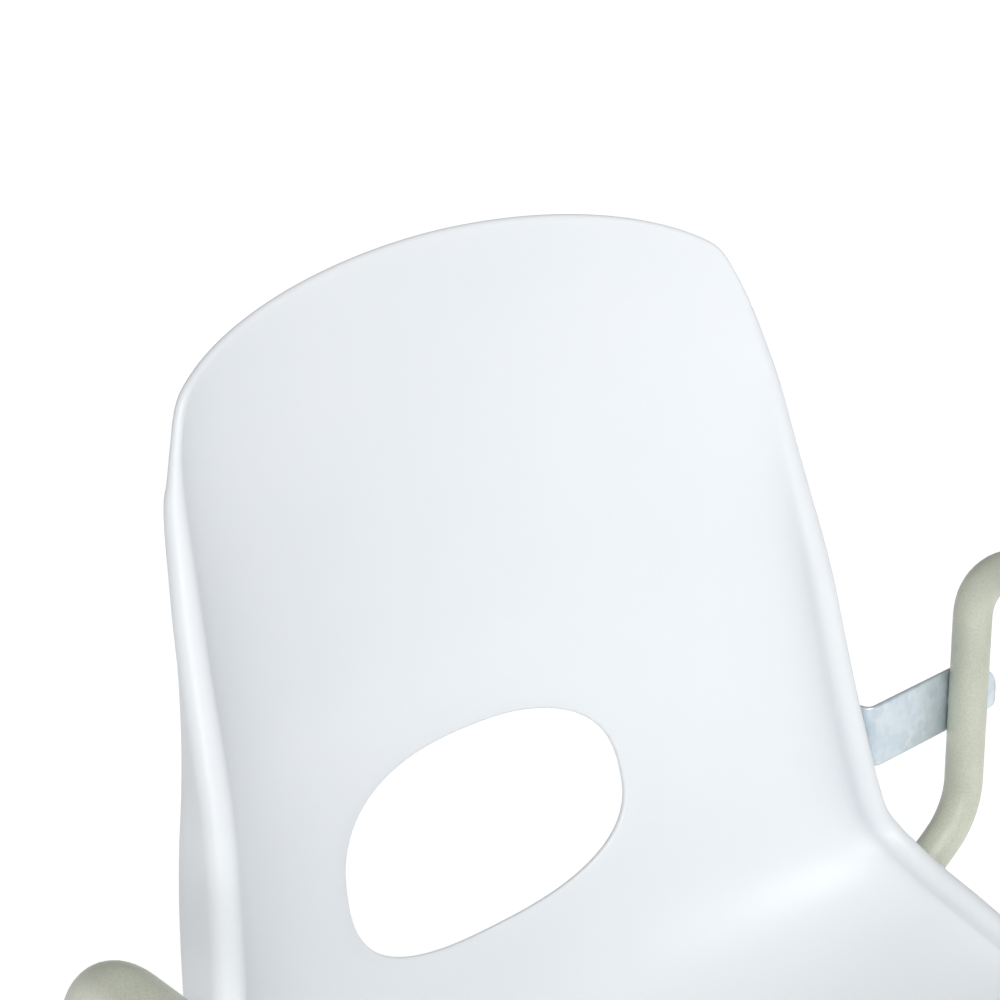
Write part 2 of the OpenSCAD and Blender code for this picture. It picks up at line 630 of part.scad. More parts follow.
module lever_pivot_pin() color(steel) {
    bar([-lever_pivot_x, -9, lever_z], [-lever_pivot_x, 9, lever_z], pivot_pin_r);
    bar([-lever_pivot_x, 6.2, lever_z], [-lever_pivot_x, 8.5, lever_z], 5);
    bar([-lever_pivot_x, -8.5, lever_z], [-lever_pivot_x, -6.2, lever_z], 5);
}

// ---- Base ----
hoop_y = 215;
hoop_bend = 55;
// A leg's axis from the hoop's corner to the floor, for the left rear leg
leg_top = [hoop_x, hoop_y, hoop_z];
leg_foot = [foot_x, foot_y, 0];
leg_dir = unit(leg_foot - leg_top);
outer_leg_end = 95;
inner_leg_r = inner_leg_d / 2;
// The point of the leg's axis at height z
function leg_at(z) = leg_top + leg_dir * (z - hoop_z) / leg_dir.z;
function flip(p, fx, fy) = [p.x * fx, p.y * fy, p.z];
hoop_path = [flip(leg_at(outer_leg_end), 1, -1), flip(leg_top, 1, -1), leg_top, leg_at(outer_leg_end)];

// A hoop is drilled where the clamp screws go in
module leg_hoop() difference() {
    swept_tube(hoop_path, hoop_bend);
    for (fy = [-1, 1]) one_leg(1, fy) bar(clamp_at, clamp_at + clamp_dir * (tube_r + 5), screw_r + 0.3);
}
module left_leg_hoop()
    color(tube_cream) leg_hoop();
module right_leg_hoop()
    color(tube_cream) mirror([1, 0, 0]) leg_hoop();

// Square tubes between the hoops, with saddle ends that fit round them
module cross_rail(y) difference() {
    translate([-hoop_x, y - cross_rail_w / 2, bottom_plate_z - cross_rail_w])
        cube([2 * hoop_x, cross_rail_w, cross_rail_w]);
    translate([-hoop_x - 1, y - cross_rail_w / 2 + 2, bottom_plate_z - cross_rail_w + 2])
        cube([2 * hoop_x + 2, cross_rail_w - 4, cross_rail_w - 4]);
    for (x = [-1, 1] * hoop_x) bar([x, y - 30, hoop_z], [x, y + 30, hoop_z], tube_r);
    for (x = [-1, 1] * plate_bolt_x) translate([x, y, bottom_plate_z - cross_rail_w - 1])
        cylinder(r = plate_bolt_r + 0.25, h = cross_rail_w + 2);
}
module front_cross_rail()
    color(tube_cream) cross_rail(-cross_rail_y);
module rear_cross_rail()
    color(tube_cream) cross_rail(cross_rail_y);

// Draws its children for each of the four legs
module each_leg()
    for (fx = [-1, 1], fy = [-1, 1]) one_leg(fx, fy) children();
module one_leg(fx, fy)
    mirror([fx < 0 ? 1 : 0, 0, 0]) mirror([0, fy < 0 ? 1 : 0, 0]) children();

collar_lip = 4;
collar_inside = 22;
module leg_collars() color(dark_plastic) each_leg() difference() {
    union() {
        bar(leg_at(outer_leg_end) - leg_dir * collar_inside, leg_at(outer_leg_end), tube_r - tube_wall - 0.15);
        bar(leg_at(outer_leg_end), leg_at(outer_leg_end) + leg_dir * collar_lip, tube_r + 1);
    }
    bar(leg_at(outer_leg_end) - leg_dir * (collar_inside + 1),
        leg_at(outer_leg_end) + leg_dir * (collar_lip + 1), inner_leg_r + 0.05);
}

inner_leg_top = 250;
inner_leg_bottom = 9;
module inner_leg(fx, fy)
    color(zinc) one_leg(fx, fy)
        pipe(leg_at(inner_leg_top), leg_at(inner_leg_bottom), inner_leg_r, inner_leg_r - 1.5);
module inner_leg_fl() inner_leg(1, -1);
module inner_leg_fr() inner_leg(-1, -1);
module inner_leg_rl() inner_leg(1, 1);
module inner_leg_rr() inner_leg(-1, 1);

// Rubber foot: a flat round sole with a sleeve that follows the leg
sole_h = 8;
sleeve_r = inner_leg_r + 3.5;
sleeve_end = 42;
module rubber_foot(fx, fy)
    color(rubber_grey) one_leg(fx, fy) difference() {
        union() {
            translate(leg_foot) cylinder(r = foot_d / 2, h = sole_h);
            translate(leg_at(sole_h)) cylinder(r1 = foot_d / 2 - 1, r2 = sleeve_r + 1, h = 10);
            bar(leg_at(sole_h - 2), leg_at(sleeve_end), sleeve_r);
        }
        bar(leg_at(inner_leg_bottom), leg_at(sleeve_end + 5), inner_leg_r);
    }
module foot_fl() rubber_foot(1, -1);
module foot_fr() rubber_foot(-1, -1);
module foot_rl() rubber_foot(1, 1);
module foot_rr() rubber_foot(-1, 1);

// Clamp: a boss on the outside of each outer leg, with a knobbed screw
clamp_z = 122;
clamp_at = leg_at(clamp_z);
clamp_dir = unit([1, 0, -leg_dir.x / leg_dir.z]);
boss_r = 7;
boss_end = tube_r + 9;
screw_r = 3;
screw_tip = inner_leg_r + 0.4;
module clamp_bosses() color(tube_cream) each_leg() difference() {
    bar(clamp_at + clamp_dir * (tube_r - 3), clamp_at + clamp_dir * boss_end, boss_r);
    bar(clamp_at - leg_dir * 20, clamp_at + leg_dir * 20, tube_r);
    bar(clamp_at, clamp_at + clamp_dir * (boss_end + 1), screw_r + 0.05);
}

knob_gap = 1.5;
knob_h = 14;
knob_r = 15;
lobes = 5;
module clamp_knob(fx, fy) one_leg(fx, fy) {
    color(steel) bar(clamp_at + clamp_dir * screw_tip,
        clamp_at + clamp_dir * (boss_end + knob_gap + 4), screw_r);
    color(dark_plastic) along(clamp_at + clamp_dir * (boss_end + knob_gap), clamp_dir) {
        difference() {
            union() {
                cylinder(r = 6.5, h = 4);
                translate([0, 0, 4]) cylinder(r = knob_r - 4, h = knob_h - 4);
                for (i = [0 : lobes - 1]) rotate([0, 0, 360 * i / lobes])
                    translate([knob_r - 5, 0, 4]) cylinder(r = 5, h = knob_h - 5);
            }
            translate([0, 0, -1]) cylinder(r = screw_r, h = 5);
        }
    }
}
module clamp_knob_fl() clamp_knob(1, -1);
module clamp_knob_fr() clamp_knob(-1, -1);
module clamp_knob_rl() clamp_knob(1, 1);
module clamp_knob_rr() clamp_knob(-1, 1);

seat_shell();
shell_spacers();
shell_bolts();
left_arm_tube();
right_arm_tube();
front_socket_tube();
rear_socket_tube();
arm_clamp_screws();
left_rail();
right_rail();
left_back_strap();
right_back_strap();
strap_post_bolts();
strap_shell_screws();
turntable_top_plate();
upper_race_ring();
pivot_bush();
lock_pin_guide();
lever_bracket();
lever_pivot_pin();
lock_lever();
lever_grip();
lock_pin();
lock_cross_pin();
turntable_bottom_plate();
lower_race_ring();
bearing_balls();
pivot_bolt();
pivot_nut();
pivot_washers();
plate_bolts();
plate_nuts();
front_cross_rail();
rear_cross_rail();
left_leg_hoop();
right_leg_hoop();
leg_collars();
clamp_bosses();
inner_leg_fl();
inner_leg_fr();
inner_leg_rl();
inner_leg_rr();
foot_fl();
foot_fr();
foot_rl();
foot_rr();
clamp_knob_fl();
clamp_knob_fr();
clamp_knob_rl();
clamp_knob_rr();
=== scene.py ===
import json
import math

import bpy
import numpy as np
from mathutils import Matrix, Vector


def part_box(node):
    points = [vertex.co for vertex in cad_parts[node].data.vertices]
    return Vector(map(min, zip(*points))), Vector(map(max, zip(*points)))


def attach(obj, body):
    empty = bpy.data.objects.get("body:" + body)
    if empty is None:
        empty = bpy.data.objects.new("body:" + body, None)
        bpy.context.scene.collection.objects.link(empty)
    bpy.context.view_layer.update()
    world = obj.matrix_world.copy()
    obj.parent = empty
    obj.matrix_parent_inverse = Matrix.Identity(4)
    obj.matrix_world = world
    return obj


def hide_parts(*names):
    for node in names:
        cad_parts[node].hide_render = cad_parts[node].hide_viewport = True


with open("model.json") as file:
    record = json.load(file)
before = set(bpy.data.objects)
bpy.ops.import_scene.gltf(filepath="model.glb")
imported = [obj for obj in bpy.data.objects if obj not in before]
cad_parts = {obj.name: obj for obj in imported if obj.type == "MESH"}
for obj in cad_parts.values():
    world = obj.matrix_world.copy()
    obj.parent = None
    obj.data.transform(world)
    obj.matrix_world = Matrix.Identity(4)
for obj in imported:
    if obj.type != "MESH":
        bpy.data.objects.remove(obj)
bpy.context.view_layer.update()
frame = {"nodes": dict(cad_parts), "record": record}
MM = 0.001

# ---- Driving sizes, in millimetres, as in the part's own source ----
SEAT_Z = 425
SHELL_WALL = 4
OPENING_HALF = (97, 54)
TUBE_R = 11
TUBE_WALL = 1.5
ARM_BEND = 38
ARM_RISE = 212
POST_X = 300
FOOT_X, FOOT_Y = 268, 285
HOOP_X, HOOP_Y = 205, 215
HOOP_BEND = 55
INNER_LEG_R = 9
SOCKET_Z = 390
HOOP_Z = 342.5
REAR_POST_Y, FRONT_POST_Y = 102, -190
ARM_END_X, ARM_INNER_X = 95, 166
OUTER_LEG_END = 95
RAIL_WIDTH, RAIL_Y = 25, 65
CLAMP_Z = 122
BOSS_R, BOSS_END = 7, TUBE_R + 9
KNOB_GAP = 1.5
# Each leg's sides: 1 for the sitter's left and the rear, -1 for the right and the front
LEG_KEYS = {"fl": (1, -1), "fr": (-1, -1), "rl": (1, 1), "rr": (-1, 1)}


# ---- Material building ----
# Places of the sockets of a Mix node that mixes colours
MIX_FACTOR, MIX_A, MIX_B, MIX_RESULT = 0, 6, 7, 2


class Finish:
    """A procedural material on one Principled shader, with helpers that add its nodes."""

    def __init__(self, name, **sockets):
        self.material = bpy.data.materials.new(name)
        self.material.use_nodes = True
        self.nodes = self.material.node_tree.nodes
        self.links = self.material.node_tree.links
        self.shader = self.nodes["Principled BSDF"]
        self.place = self.nodes.new("ShaderNodeTexCoord").outputs["Object"]
        self.height = None
        for socket, value in sockets.items():
            self.shader.inputs[socket.replace("_", " ")].default_value = value

    def noise(self, size, detail, stretch=(1, 1, 1)):
        """Noise whose grains are about size metres across."""
        node = self.nodes.new("ShaderNodeTexNoise")
        node.inputs["Scale"].default_value = 1 / size
        node.inputs["Detail"].default_value = detail
        self.links.new(self.stretched(stretch), node.inputs["Vector"])
        return node.outputs["Fac"]

    def stretched(self, stretch):
        """The object's own coordinates, scaled by stretch."""
        if tuple(stretch) == (1, 1, 1):
            return self.place
        node = self.nodes.new("ShaderNodeMapping")
        node.inputs["Scale"].default_value = stretch
        self.links.new(self.place, node.inputs["Vector"])
        return node.outputs["Vector"]

    def cells(self, size, output="Color"):
        """Crystal-like cells about size metres across."""
        node = self.nodes.new("ShaderNodeTexVoronoi")
        node.inputs["Scale"].default_value = 1 / size
        self.links.new(self.place, node.inputs["Vector"])
        return node.outputs[output]

    def ramp(self, value, low, high, start=0.3, end=0.7):
        """A colour or grey that goes from low to high as value goes from start to end."""
        node = self.nodes.new("ShaderNodeValToRGB")
        stops = node.color_ramp.elements
        stops[0].position, stops[1].position = start, end
        for stop, tone in zip(stops, (low, high)):
            stop.color = (*tone, 1) if isinstance(tone, tuple) else (tone, tone, tone, 1)
        self.links.new(value, node.inputs["Fac"])
        return node.outputs["Color"]

    def mix(self, factor, a, b, blend="MIX"):
        """Two colours mixed; each value is a number, a colour or another node's output."""
        node = self.nodes.new("ShaderNodeMix")
        node.data_type = "RGBA"
        node.blend_type = blend
        for place, value in ((MIX_FACTOR, factor), (MIX_A, a), (MIX_B, b)):
            socket = node.inputs[place]
            if isinstance(value, (float, int)):
                socket.default_value = value
            elif isinstance(value, tuple):
                socket.default_value = (*value, 1)
            else:
                self.links.new(value, socket)
        return node.outputs[MIX_RESULT]

    def colour(self, value):
        self.links.new(value, self.shader.inputs["Base Color"])

    def roughness(self, value):
        self.links.new(value, self.shader.inputs["Roughness"])

    def bump(self, value, depth, strength):
        """Adds a height of about depth metres to the surface."""
        node = self.nodes.new("ShaderNodeBump")
        node.inputs["Distance"].default_value = depth
        node.inputs["Strength"].default_value = strength
        self.links.new(value, node.inputs["Height"])
        if self.height:
            self.links.new(self.height, node.inputs["Normal"])
        self.height = node.outputs["Normal"]
        self.links.new(self.height, self.shader.inputs["Normal"])


def moulded_plastic():
    """White polypropylene: a satin skin with a very fine grain and faint flow clouds."""
    f = Finish("shell plastic", IOR=1.49, Subsurface_Weight=0.12, Subsurface_Scale=0.004)
    f.shader.inputs["Subsurface Radius"].default_value = (1.0, 1.0, 1.1)
    clouds = f.ramp(f.noise(0.12, 2), (0.745, 0.775, 0.80), (0.77, 0.795, 0.82), 0.2, 0.8)
    streaks = f.ramp(f.noise(0.03, 1), (0.75, 0.78, 0.805), (0.765, 0.79, 0.815), 0.2, 0.8)
    f.colour(f.mix(0.3, clouds, streaks))
    f.roughness(f.ramp(f.noise(0.05, 1), 0.38, 0.42, 0.2, 0.8))
    f.bump(f.noise(0.08, 0), 0.0006, 0.25)
    f.bump(f.noise(0.0022, 0), 0.000006, 0.5)
    return f.material


def coated_tube():
    """Cream nylon coating: fine orange peel, faint speckle and slightly darker patches."""
    f = Finish("cream coating", IOR=1.5, Coat_Weight=0.12, Coat_Roughness=0.3)
    tone = f.ramp(f.noise(0.045, 4), (0.52, 0.545, 0.45), (0.60, 0.62, 0.51))
    speck = f.ramp(f.noise(0.0009, 1), 0.86, 1.0, 0.35, 0.6)
    f.colour(f.mix(0.8, tone, speck, "MULTIPLY"))
    f.roughness(f.ramp(f.noise(0.006, 4), 0.34, 0.5))
    f.bump(f.noise(0.0024, 2), 0.00012, 0.5)
    return f.material


def zinc():
    """Bright zinc plate: crystal patches of slightly different tone, faint rolling lines and stains."""
    f = Finish("zinc plate", Metallic=0.55, IOR=1.8)
    spangle = f.ramp(f.cells(0.0045), (0.60, 0.68, 0.74), (0.70, 0.77, 0.83), 0.1, 0.9)
    stain = f.ramp(f.noise(0.02, 6), (0.86, 0.89, 0.9), (1.0, 1.0, 1.0), 0.3, 0.55)
    f.colour(f.mix(0.6, spangle, stain, "MULTIPLY"))
    crystals = f.ramp(f.cells(0.0045), 0.3, 0.5, 0.1, 0.9)
    f.roughness(f.mix(0.5, crystals, f.ramp(f.noise(0.009, 5), 0.3, 0.55)))
    f.bump(f.noise(0.0012, 3, (0.12, 1, 1)), 0.00004, 0.5)
    return f.material


def bright_steel():
    """Turned steel: fine rings and a light haze."""
    f = Finish("bright steel", Metallic=1.0)
    f.colour(f.ramp(f.noise(0.008, 5), (0.56, 0.57, 0.58), (0.68, 0.69, 0.70)))
    f.roughness(f.ramp(f.noise(0.003, 4), 0.18, 0.34))
    f.bump(f.noise(0.0006, 2, (1, 1, 0.15)), 0.00003, 0.5)
    return f.material


def black_plastic():
    """Black moulded plastic with a leather-like grain, rubbed smoother in places."""
    f = Finish("black plastic", IOR=1.48)
    f.colour(f.ramp(f.noise(0.015, 4), (0.018, 0.018, 0.02), (0.034, 0.034, 0.036)))
    f.roughness(f.ramp(f.noise(0.01, 5), 0.38, 0.6))
    f.bump(f.cells(0.0011, "Distance"), 0.00012, 0.5)
    return f.material


def acetal():
    """White bearing plastic, slightly waxy."""
    f = Finish("white acetal", IOR=1.48, Subsurface_Weight=0.1, Subsurface_Scale=0.002)
    f.colour(f.ramp(f.noise(0.006, 3), (0.72, 0.72, 0.69), (0.80, 0.80, 0.77)))
    f.roughness(f.ramp(f.noise(0.004, 3), 0.3, 0.42))
    return f.material


def rubber():
    """Dark grey rubber: matt, with fine pores and patches of pale dust."""
    f = Finish("grey rubber", IOR=1.52)
    f.colour(f.ramp(f.noise(0.01, 6), (0.045, 0.047, 0.05), (0.11, 0.11, 0.108), 0.35, 0.75))
    f.roughness(f.ramp(f.noise(0.006, 4), 0.62, 0.85))
    f.bump(f.noise(0.0009, 3), 0.00015, 0.6)
    return f.material


FINISHES = {
    "shell_plastic": moulded_plastic(),
    "coated_tube": coated_tube(),
    "zinc_steel": zinc(),
    "bright_steel": bright_steel(),
    "black_plastic": black_plastic(),
    "white_bearing_plastic": acetal(),
    "grey_rubber": rubber(),
}


# ---- Mesh helpers: all points are in millimetres ----
def piece(name, points, faces, body, slot, *nodes):
    """Makes a smooth mesh, gives it its finish, rides it on its body and puts it in the place of nodes."""
    mesh = bpy.data.meshes.new(name)
    mesh.from_pydata([tuple(MM * c for c in p) for p in points], [], faces)
    mesh.validate()
    mesh.polygons.foreach_set("use_smooth", [True] * len(mesh.polygons))
    mesh.materials.append(FINISHES[slot])
    obj = bpy.data.objects.new(name, mesh)
    bpy.context.scene.collection.objects.link(obj)
    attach(obj, body)
    if nodes:
        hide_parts(*nodes)
    return obj


def bevelled(obj, width):
    """Rounds the edges that turn by more than 35 degrees."""
    mod = obj.modifiers.new("edges", "BEVEL")
    mod.width = width * MM
    mod.segments = 3
    mod.limit_method = "ANGLE"
    mod.angle_limit = math.radians(35)


def unit(v):
    """v at length 1."""
    return v / np.linalg.norm(v)


def loft(rings, closed=False):
    """Joins equal rings of points into a skin, with flat ends unless closed. Returns points and faces."""
    count, sides = len(rings), len(rings[0])
    points = [p for ring in rings for p in ring]
    spans = count if closed else count - 1
    faces = []
    for i in range(spans):
        for k in range(sides):
            a, b = i * sides + k, i * sides + (k + 1) % sides
            c, d = (i + 1) % count * sides + (k + 1) % sides, (i + 1) % count * sides + k
            faces.append((a, b, c, d))
    if not closed:
        faces.append(tuple(reversed(range(sides))))
        faces.append(tuple((count - 1) * sides + k for k in range(sides)))
    return points, faces


def ring(centre, x, y, radii):
    """Points round centre in the plane of x and y; radii is one radius per point."""
    angles = 2 * np.pi * np.arange(len(radii)) / len(radii)
    return [centre + r * (x * math.cos(a) + y * math.sin(a)) for r, a in zip(radii, angles)]


def square_to(axis):
    """Two directions square to axis and to each other."""
    helper = np.array((0, 0, 1.0)) if abs(axis[2]) < 0.9 else np.array((1.0, 0, 0))
    x = unit(np.cross(axis, helper))
    return x, np.cross(axis, x)


def turned(origin, axis, profile, sides):
    """Rings of a turned shape: profile is a list of (distance along the axis, radius)."""
    axis = unit(np.array(axis, float))
    x, y = square_to(axis)
    return [ring(np.array(origin) + axis * h, x, y, [max(r, 0.01)] * sides) for h, r in profile]


# ---- Bent tubes ----
BEND_STEPS = 16
TUBE_SIDES = 40
TUBE_END_ROUND = 0.5


def tube_stations(path, bend):
    """Points and directions along a path whose corners are arcs of radius bend."""
    path = [np.array(p, float) for p in path]
    out = [(path[0], unit(path[1] - path[0]))]
    for before, corner, after in zip(path, path[1:], path[2:]):
        d1, d2 = unit(corner - before), unit(after - corner)
        angle = math.acos(max(-1, min(1, float(d1 @ d2))))
        centre = corner + unit(d2 - d1) * bend / math.cos(angle / 2)
        e1 = unit(corner - d1 * bend * math.tan(angle / 2) - centre)
        for k in range(BEND_STEPS + 1):
            a = angle * k / BEND_STEPS
            out.append((centre + bend * (e1 * math.cos(a) + d1 * math.sin(a)),
                        d1 * math.cos(a) - e1 * math.sin(a)))
    out.append((path[-1], unit(path[-1] - path[-2])))
    return out


def swept_tube(name, path, bend, mirrored, body, node):
    """A tube with a real wall: the outer skin, both rounded ends and the bore."""
    stations = tube_stations(path, bend)
    side = np.array((0, 1, 0.01))
    frames = []
    for point, direction in stations:
        side = unit(side - direction * (side @ direction))
        frames.append((point, side, np.cross(direction, side), direction))
    bore, rounded = TUBE_R - TUBE_WALL, TUBE_R - TUBE_END_ROUND
    rings = []

    def add(frame_index, shift, radius):
        point, x, y, direction = frames[frame_index]
        rings.append(ring(point + direction * shift, x, y, [radius] * TUBE_SIDES))

    add(0, 0, rounded)
    add(0, TUBE_END_ROUND, TUBE_R)
    for i in range(1, len(frames) - 1):
        add(i, 0, TUBE_R)
    add(-1, -TUBE_END_ROUND, TUBE_R)
    add(-1, 0, rounded)
    add(-1, 0, bore)
    for i in range(len(frames) - 2, 0, -1):
        add(i, 0, bore)
    add(0, 0, bore)
    points, faces = loft(rings, closed=True)
    if mirrored:
        points = [(-p[0], p[1], p[2]) for p in points]
        faces = [tuple(reversed(f)) for f in faces]
    piece(name, points, faces, body, "coated_tube", node)


def leg_at(z):
    """The point of the left rear leg's axis at height z."""
    top, foot = np.array((HOOP_X, HOOP_Y, HOOP_Z)), np.array((FOOT_X, FOOT_Y, 0.0))
    return foot + (top - foot) * z / HOOP_Z


LEG_DIR = unit(leg_at(0) - leg_at(HOOP_Z))
# The clamp screw's axis is square to the leg, and starts on the leg's own axis
CLAMP_AT = leg_at(CLAMP_Z)
CLAMP_DIR = unit(np.array((1, 0, -LEG_DIR[0] / LEG_DIR[2])))


def flipped(p, fx, fy):
    """A point of the left rear leg moved to the leg with the sides fx and fy."""
    return np.array((p[0] * fx, p[1] * fy, p[2]))


def build_tubes():
    """Both arms, from socket to socket under the seat, and both leg hoops."""
    arm_top = SEAT_Z + ARM_RISE
    arm_path = [
        (ARM_END_X, REAR_POST_Y, SOCKET_Z), (ARM_INNER_X, REAR_POST_Y, SOCKET_Z),
        (POST_X, REAR_POST_Y, SEAT_Z + 49), (POST_X, REAR_POST_Y, arm_top),
        (POST_X + 7, FRONT_POST_Y, arm_top - 15), (POST_X, FRONT_POST_Y, SEAT_Z + 7),
        (ARM_INNER_X, FRONT_POST_Y, SOCKET_Z), (ARM_END_X, FRONT_POST_Y, SOCKET_Z)]
    outer_end, top = leg_at(OUTER_LEG_END), leg_at(HOOP_Z)
    hoop_path = [flipped(outer_end, 1, -1), flipped(top, 1, -1), top, outer_end]
    for side, mirrored in (("left", False), ("right", True)):
        swept_tube(f"{side}_arm", arm_path, ARM_BEND, mirrored, "seat", f"{side}_arm_tube")
        swept_tube(f"{side}_hoop", hoop_path, HOOP_BEND, mirrored, "base", f"{side}_leg_hoop")


# ---- The shell ----
# The middle line of the seat and back is followed by distance, in millimetres, from the front edge.
# It starts at this Y and Z, and its parts rise at these slopes, in degrees.
FRONT_START = (-229.5, SEAT_Z - 18)
SLOPES = {"lip": 58, "seat": -3, "back": 75.5, "top": 96}
LIP_LENGTH, BEND_START, BEND_END = 70, 285, 490
LENGTH = 816
OPENING_AT = 505
# Half width, and how far the side edges stand in front of the middle line, as (distance, value)
WIDTHS = [(0, 176), (60, 200), (160, 216), (280, 224), (350, 226), (430, 216.5), (510, 204.5),
          (600, 195), (700, 188.5), (750, 183), (LENGTH, 174.5)]
DEPTHS = [(0, 2), (60, 6), (160, 11), (240, 18), (300, 38), (350, 52), (430, 63), (520, 70),
          (610, 70), (700, 56), (760, 39), (LENGTH, 30)]
# Radius of the rolled rim, and how far its skirt hangs below the roll
RIM_RADII = [(0, 8), (160, 9), (350, 9), (500, 8.8), (600, 8), (700, 6.5), (760, 4.5), (LENGTH, 2.6)]
SKIRTS = [(0, 12), (160, 16), (350, 21), (500, 22), (560, 21), (620, 14), (680, 9), (740, 5), (LENGTH, 0.6)]
# How far the top and front edges fall back at the corners, and where that starts or ends
TOP_FALL, TOP_FALL_POWER, TOP_FALL_STARTS = 41, 1.9, 722
FRONT_FALL, FRONT_FALL_POWER, FRONT_FALL_ENDS = 34, 4, 110
# How late across the sheet its sides turn up
SECTION_POWER = 1.25
# Towards the top the side walls lean out by this many degrees, from this distance and over this length
OPEN_SECTION, OPEN_STARTS, OPEN_OVER = 14, 570, 150
CORNER_TOP, CORNER_FRONT = 31, 30
# Brings a corner's share of the width down, as the sheet's places lie further apart towards its middle
CORNER_SHARE = 0.75
OPENING_POWER = 2.5
LIP_ROUND = 1.6
# The grid leaves a block of cells out for the opening, and its lines bend as far as RELAX times the block
RELAX = 1.9
BLOCK = (0.88 * OPENING_HALF[0], 0.88 * OPENING_HALF[1])
# Grid cells: beside the opening and over half of it, then below, beside and above it
CELLS_BESIDE, CELLS_OVER = 22, 16
ROWS_BELOW, ROWS_BESIDE, ROWS_ABOVE = 84, 26, 60


def smooth(t):
    """Goes from 0 to 1 as t does, without a corner at either end."""
    c = np.clip(t, 0, 1)
    return c * c * c * (c * (6 * c - 15) + 10)


def curve(knots, s):
    """Smooth curve through (distance, value) knots."""
    x, y = np.array(knots, float).T
    rise = ((np.append(y[1:], y[-1]) - np.append(y[0], y[:-1]))
            / (np.append(x[1:], x[-1]) - np.append(x[0], x[:-1])))
    i = np.clip(np.searchsorted(x, s) - 1, 0, len(x) - 2)
    w = x[i + 1] - x[i]
    t = (s - x[i]) / w
    return ((2 * t ** 3 - 3 * t ** 2 + 1) * y[i] + (t ** 3 - 2 * t ** 2 + t) * w * rise[i]
            + (3 * t ** 2 - 2 * t ** 3) * y[i + 1] + (t ** 3 - t ** 2) * w * rise[i + 1])


def slope(s):
    """Slope of the middle line, in radians."""
    degrees = (SLOPES["seat"] + (SLOPES["lip"] - SLOPES["seat"]) * (1 - smooth(s / LIP_LENGTH))
               + (SLOPES["back"] - SLOPES["seat"]) * smooth((s - BEND_START) / (BEND_END - BEND_START))
               + (SLOPES["top"] - SLOPES["back"]) * np.clip((s - BEND_END) / (LENGTH - BEND_END), 0, 1))
    return np.radians(degrees)


STEP = 1.0
MIDDLE_S = np.arange(0, LENGTH + STEP, STEP)
MIDDLE_Y = FRONT_START[0] + np.append(0, np.cumsum(STEP * np.cos(slope(MIDDLE_S[:-1] + STEP / 2))))
MIDDLE_Z = FRONT_START[1] + np.append(0, np.cumsum(STEP * np.sin(slope(MIDDLE_S[:-1] + STEP / 2))))
OPENING_WIDTH = float(curve(WIDTHS, np.array(OPENING_AT)))


def shell_point(s, u):
    """Point of the sitter's side: s along the middle line, u across from -1 to 1."""
    fall = np.abs(u) ** TOP_FALL_POWER * smooth((s - TOP_FALL_STARTS) / (LENGTH - TOP_FALL_STARTS))
    front = u ** FRONT_FALL_POWER * smooth((FRONT_FALL_ENDS - s) / FRONT_FALL_ENDS)
    v = s - TOP_FALL * fall + FRONT_FALL * front
    edge = np.pi / 2 - math.radians(OPEN_SECTION) * smooth((v - OPEN_STARTS) / OPEN_OVER)
    angle = edge * u
    rise = curve(DEPTHS, v) * ((1 - np.maximum(np.cos(angle), 0) ** SECTION_POWER)
                               / (1 - np.maximum(np.cos(edge), 0) ** SECTION_POWER))
    a = slope(v)
    x = curve(WIDTHS, v) * np.sin(angle) / np.sin(edge)
    y, z = np.interp(v, MIDDLE_S, MIDDLE_Y), np.interp(v, MIDDLE_S, MIDDLE_Z)
    return np.stack((x, y - rise * np.sin(a), z + rise * np.cos(a)), -1)


def rounded_corners(s, u):
    """Draws the four corners of the sheet in to quarter circles."""
    for top in (True, False):
        size = CORNER_TOP if top else CORNER_FRONT
        along = (s - (LENGTH - size)) / size if top else (size - s) / size
        width = curve(WIDTHS, np.clip(s, 0, LENGTH))
        reach_u = size / width * CORNER_SHARE
        across = (np.abs(u) - (1 - reach_u)) / reach_u
        inside = (along > 0) & (across > 0)
        a, b = np.clip(along, 0, 1), np.clip(across, 0, 1)
        new_a, new_b = a * np.sqrt(1 - b * b / 2), b * np.sqrt(1 - a * a / 2)
        u = np.where(inside, np.sign(u) * (1 - reach_u + reach_u * new_b), u)
        s = np.where(inside, LENGTH - size + size * new_a if top else size - size * new_a, s)
    return s, u


def opened(s, u):
    """Draws the grid lines round the opening out to its own outline."""
    x, y = OPENING_WIDTH * np.sin(np.pi / 2 * u), s - OPENING_AT
    reach = np.maximum(np.abs(x) / BLOCK[0], np.abs(y) / BLOCK[1])
    safe = np.maximum(reach, 0.5)
    half = (OPENING_HALF[0] + LIP_ROUND / 2, OPENING_HALF[1] + LIP_ROUND / 2)
    outline = (np.abs(x / safe / half[0]) ** OPENING_POWER
               + np.abs(y / safe / half[1]) ** OPENING_POWER + 1e-12) ** (-1 / OPENING_POWER)
    pull = 1 + (outline - 1) * (1 - smooth((reach - 1) / (RELAX - 1)))
    near = (reach < RELAX) & (reach > 0.99)
    new_u = np.arcsin(np.clip(x * pull / OPENING_WIDTH, -1, 1)) / (np.pi / 2)
    return np.where(near, OPENING_AT + y * pull, s), np.where(near, new_u, u)


def grid_lines():
    """The sheet's grid: distances along the middle line, and places across it."""
    block_edge = math.asin(BLOCK[0] / OPENING_WIDTH) / (math.pi / 2)
    half = np.concatenate((np.linspace(0, block_edge, CELLS_OVER + 1)[:-1],
                           np.linspace(block_edge, 1, CELLS_BESIDE + 1)))
    low, high = OPENING_AT - BLOCK[1], OPENING_AT + BLOCK[1]
    along = np.concatenate((np.linspace(0, low, ROWS_BELOW + 1)[:-1],
                            np.linspace(low, high, ROWS_BESIDE + 1)[:-1],
                            np.linspace(high, LENGTH, ROWS_ABOVE + 1)))
    return along, np.concatenate((-half[:0:-1], half))


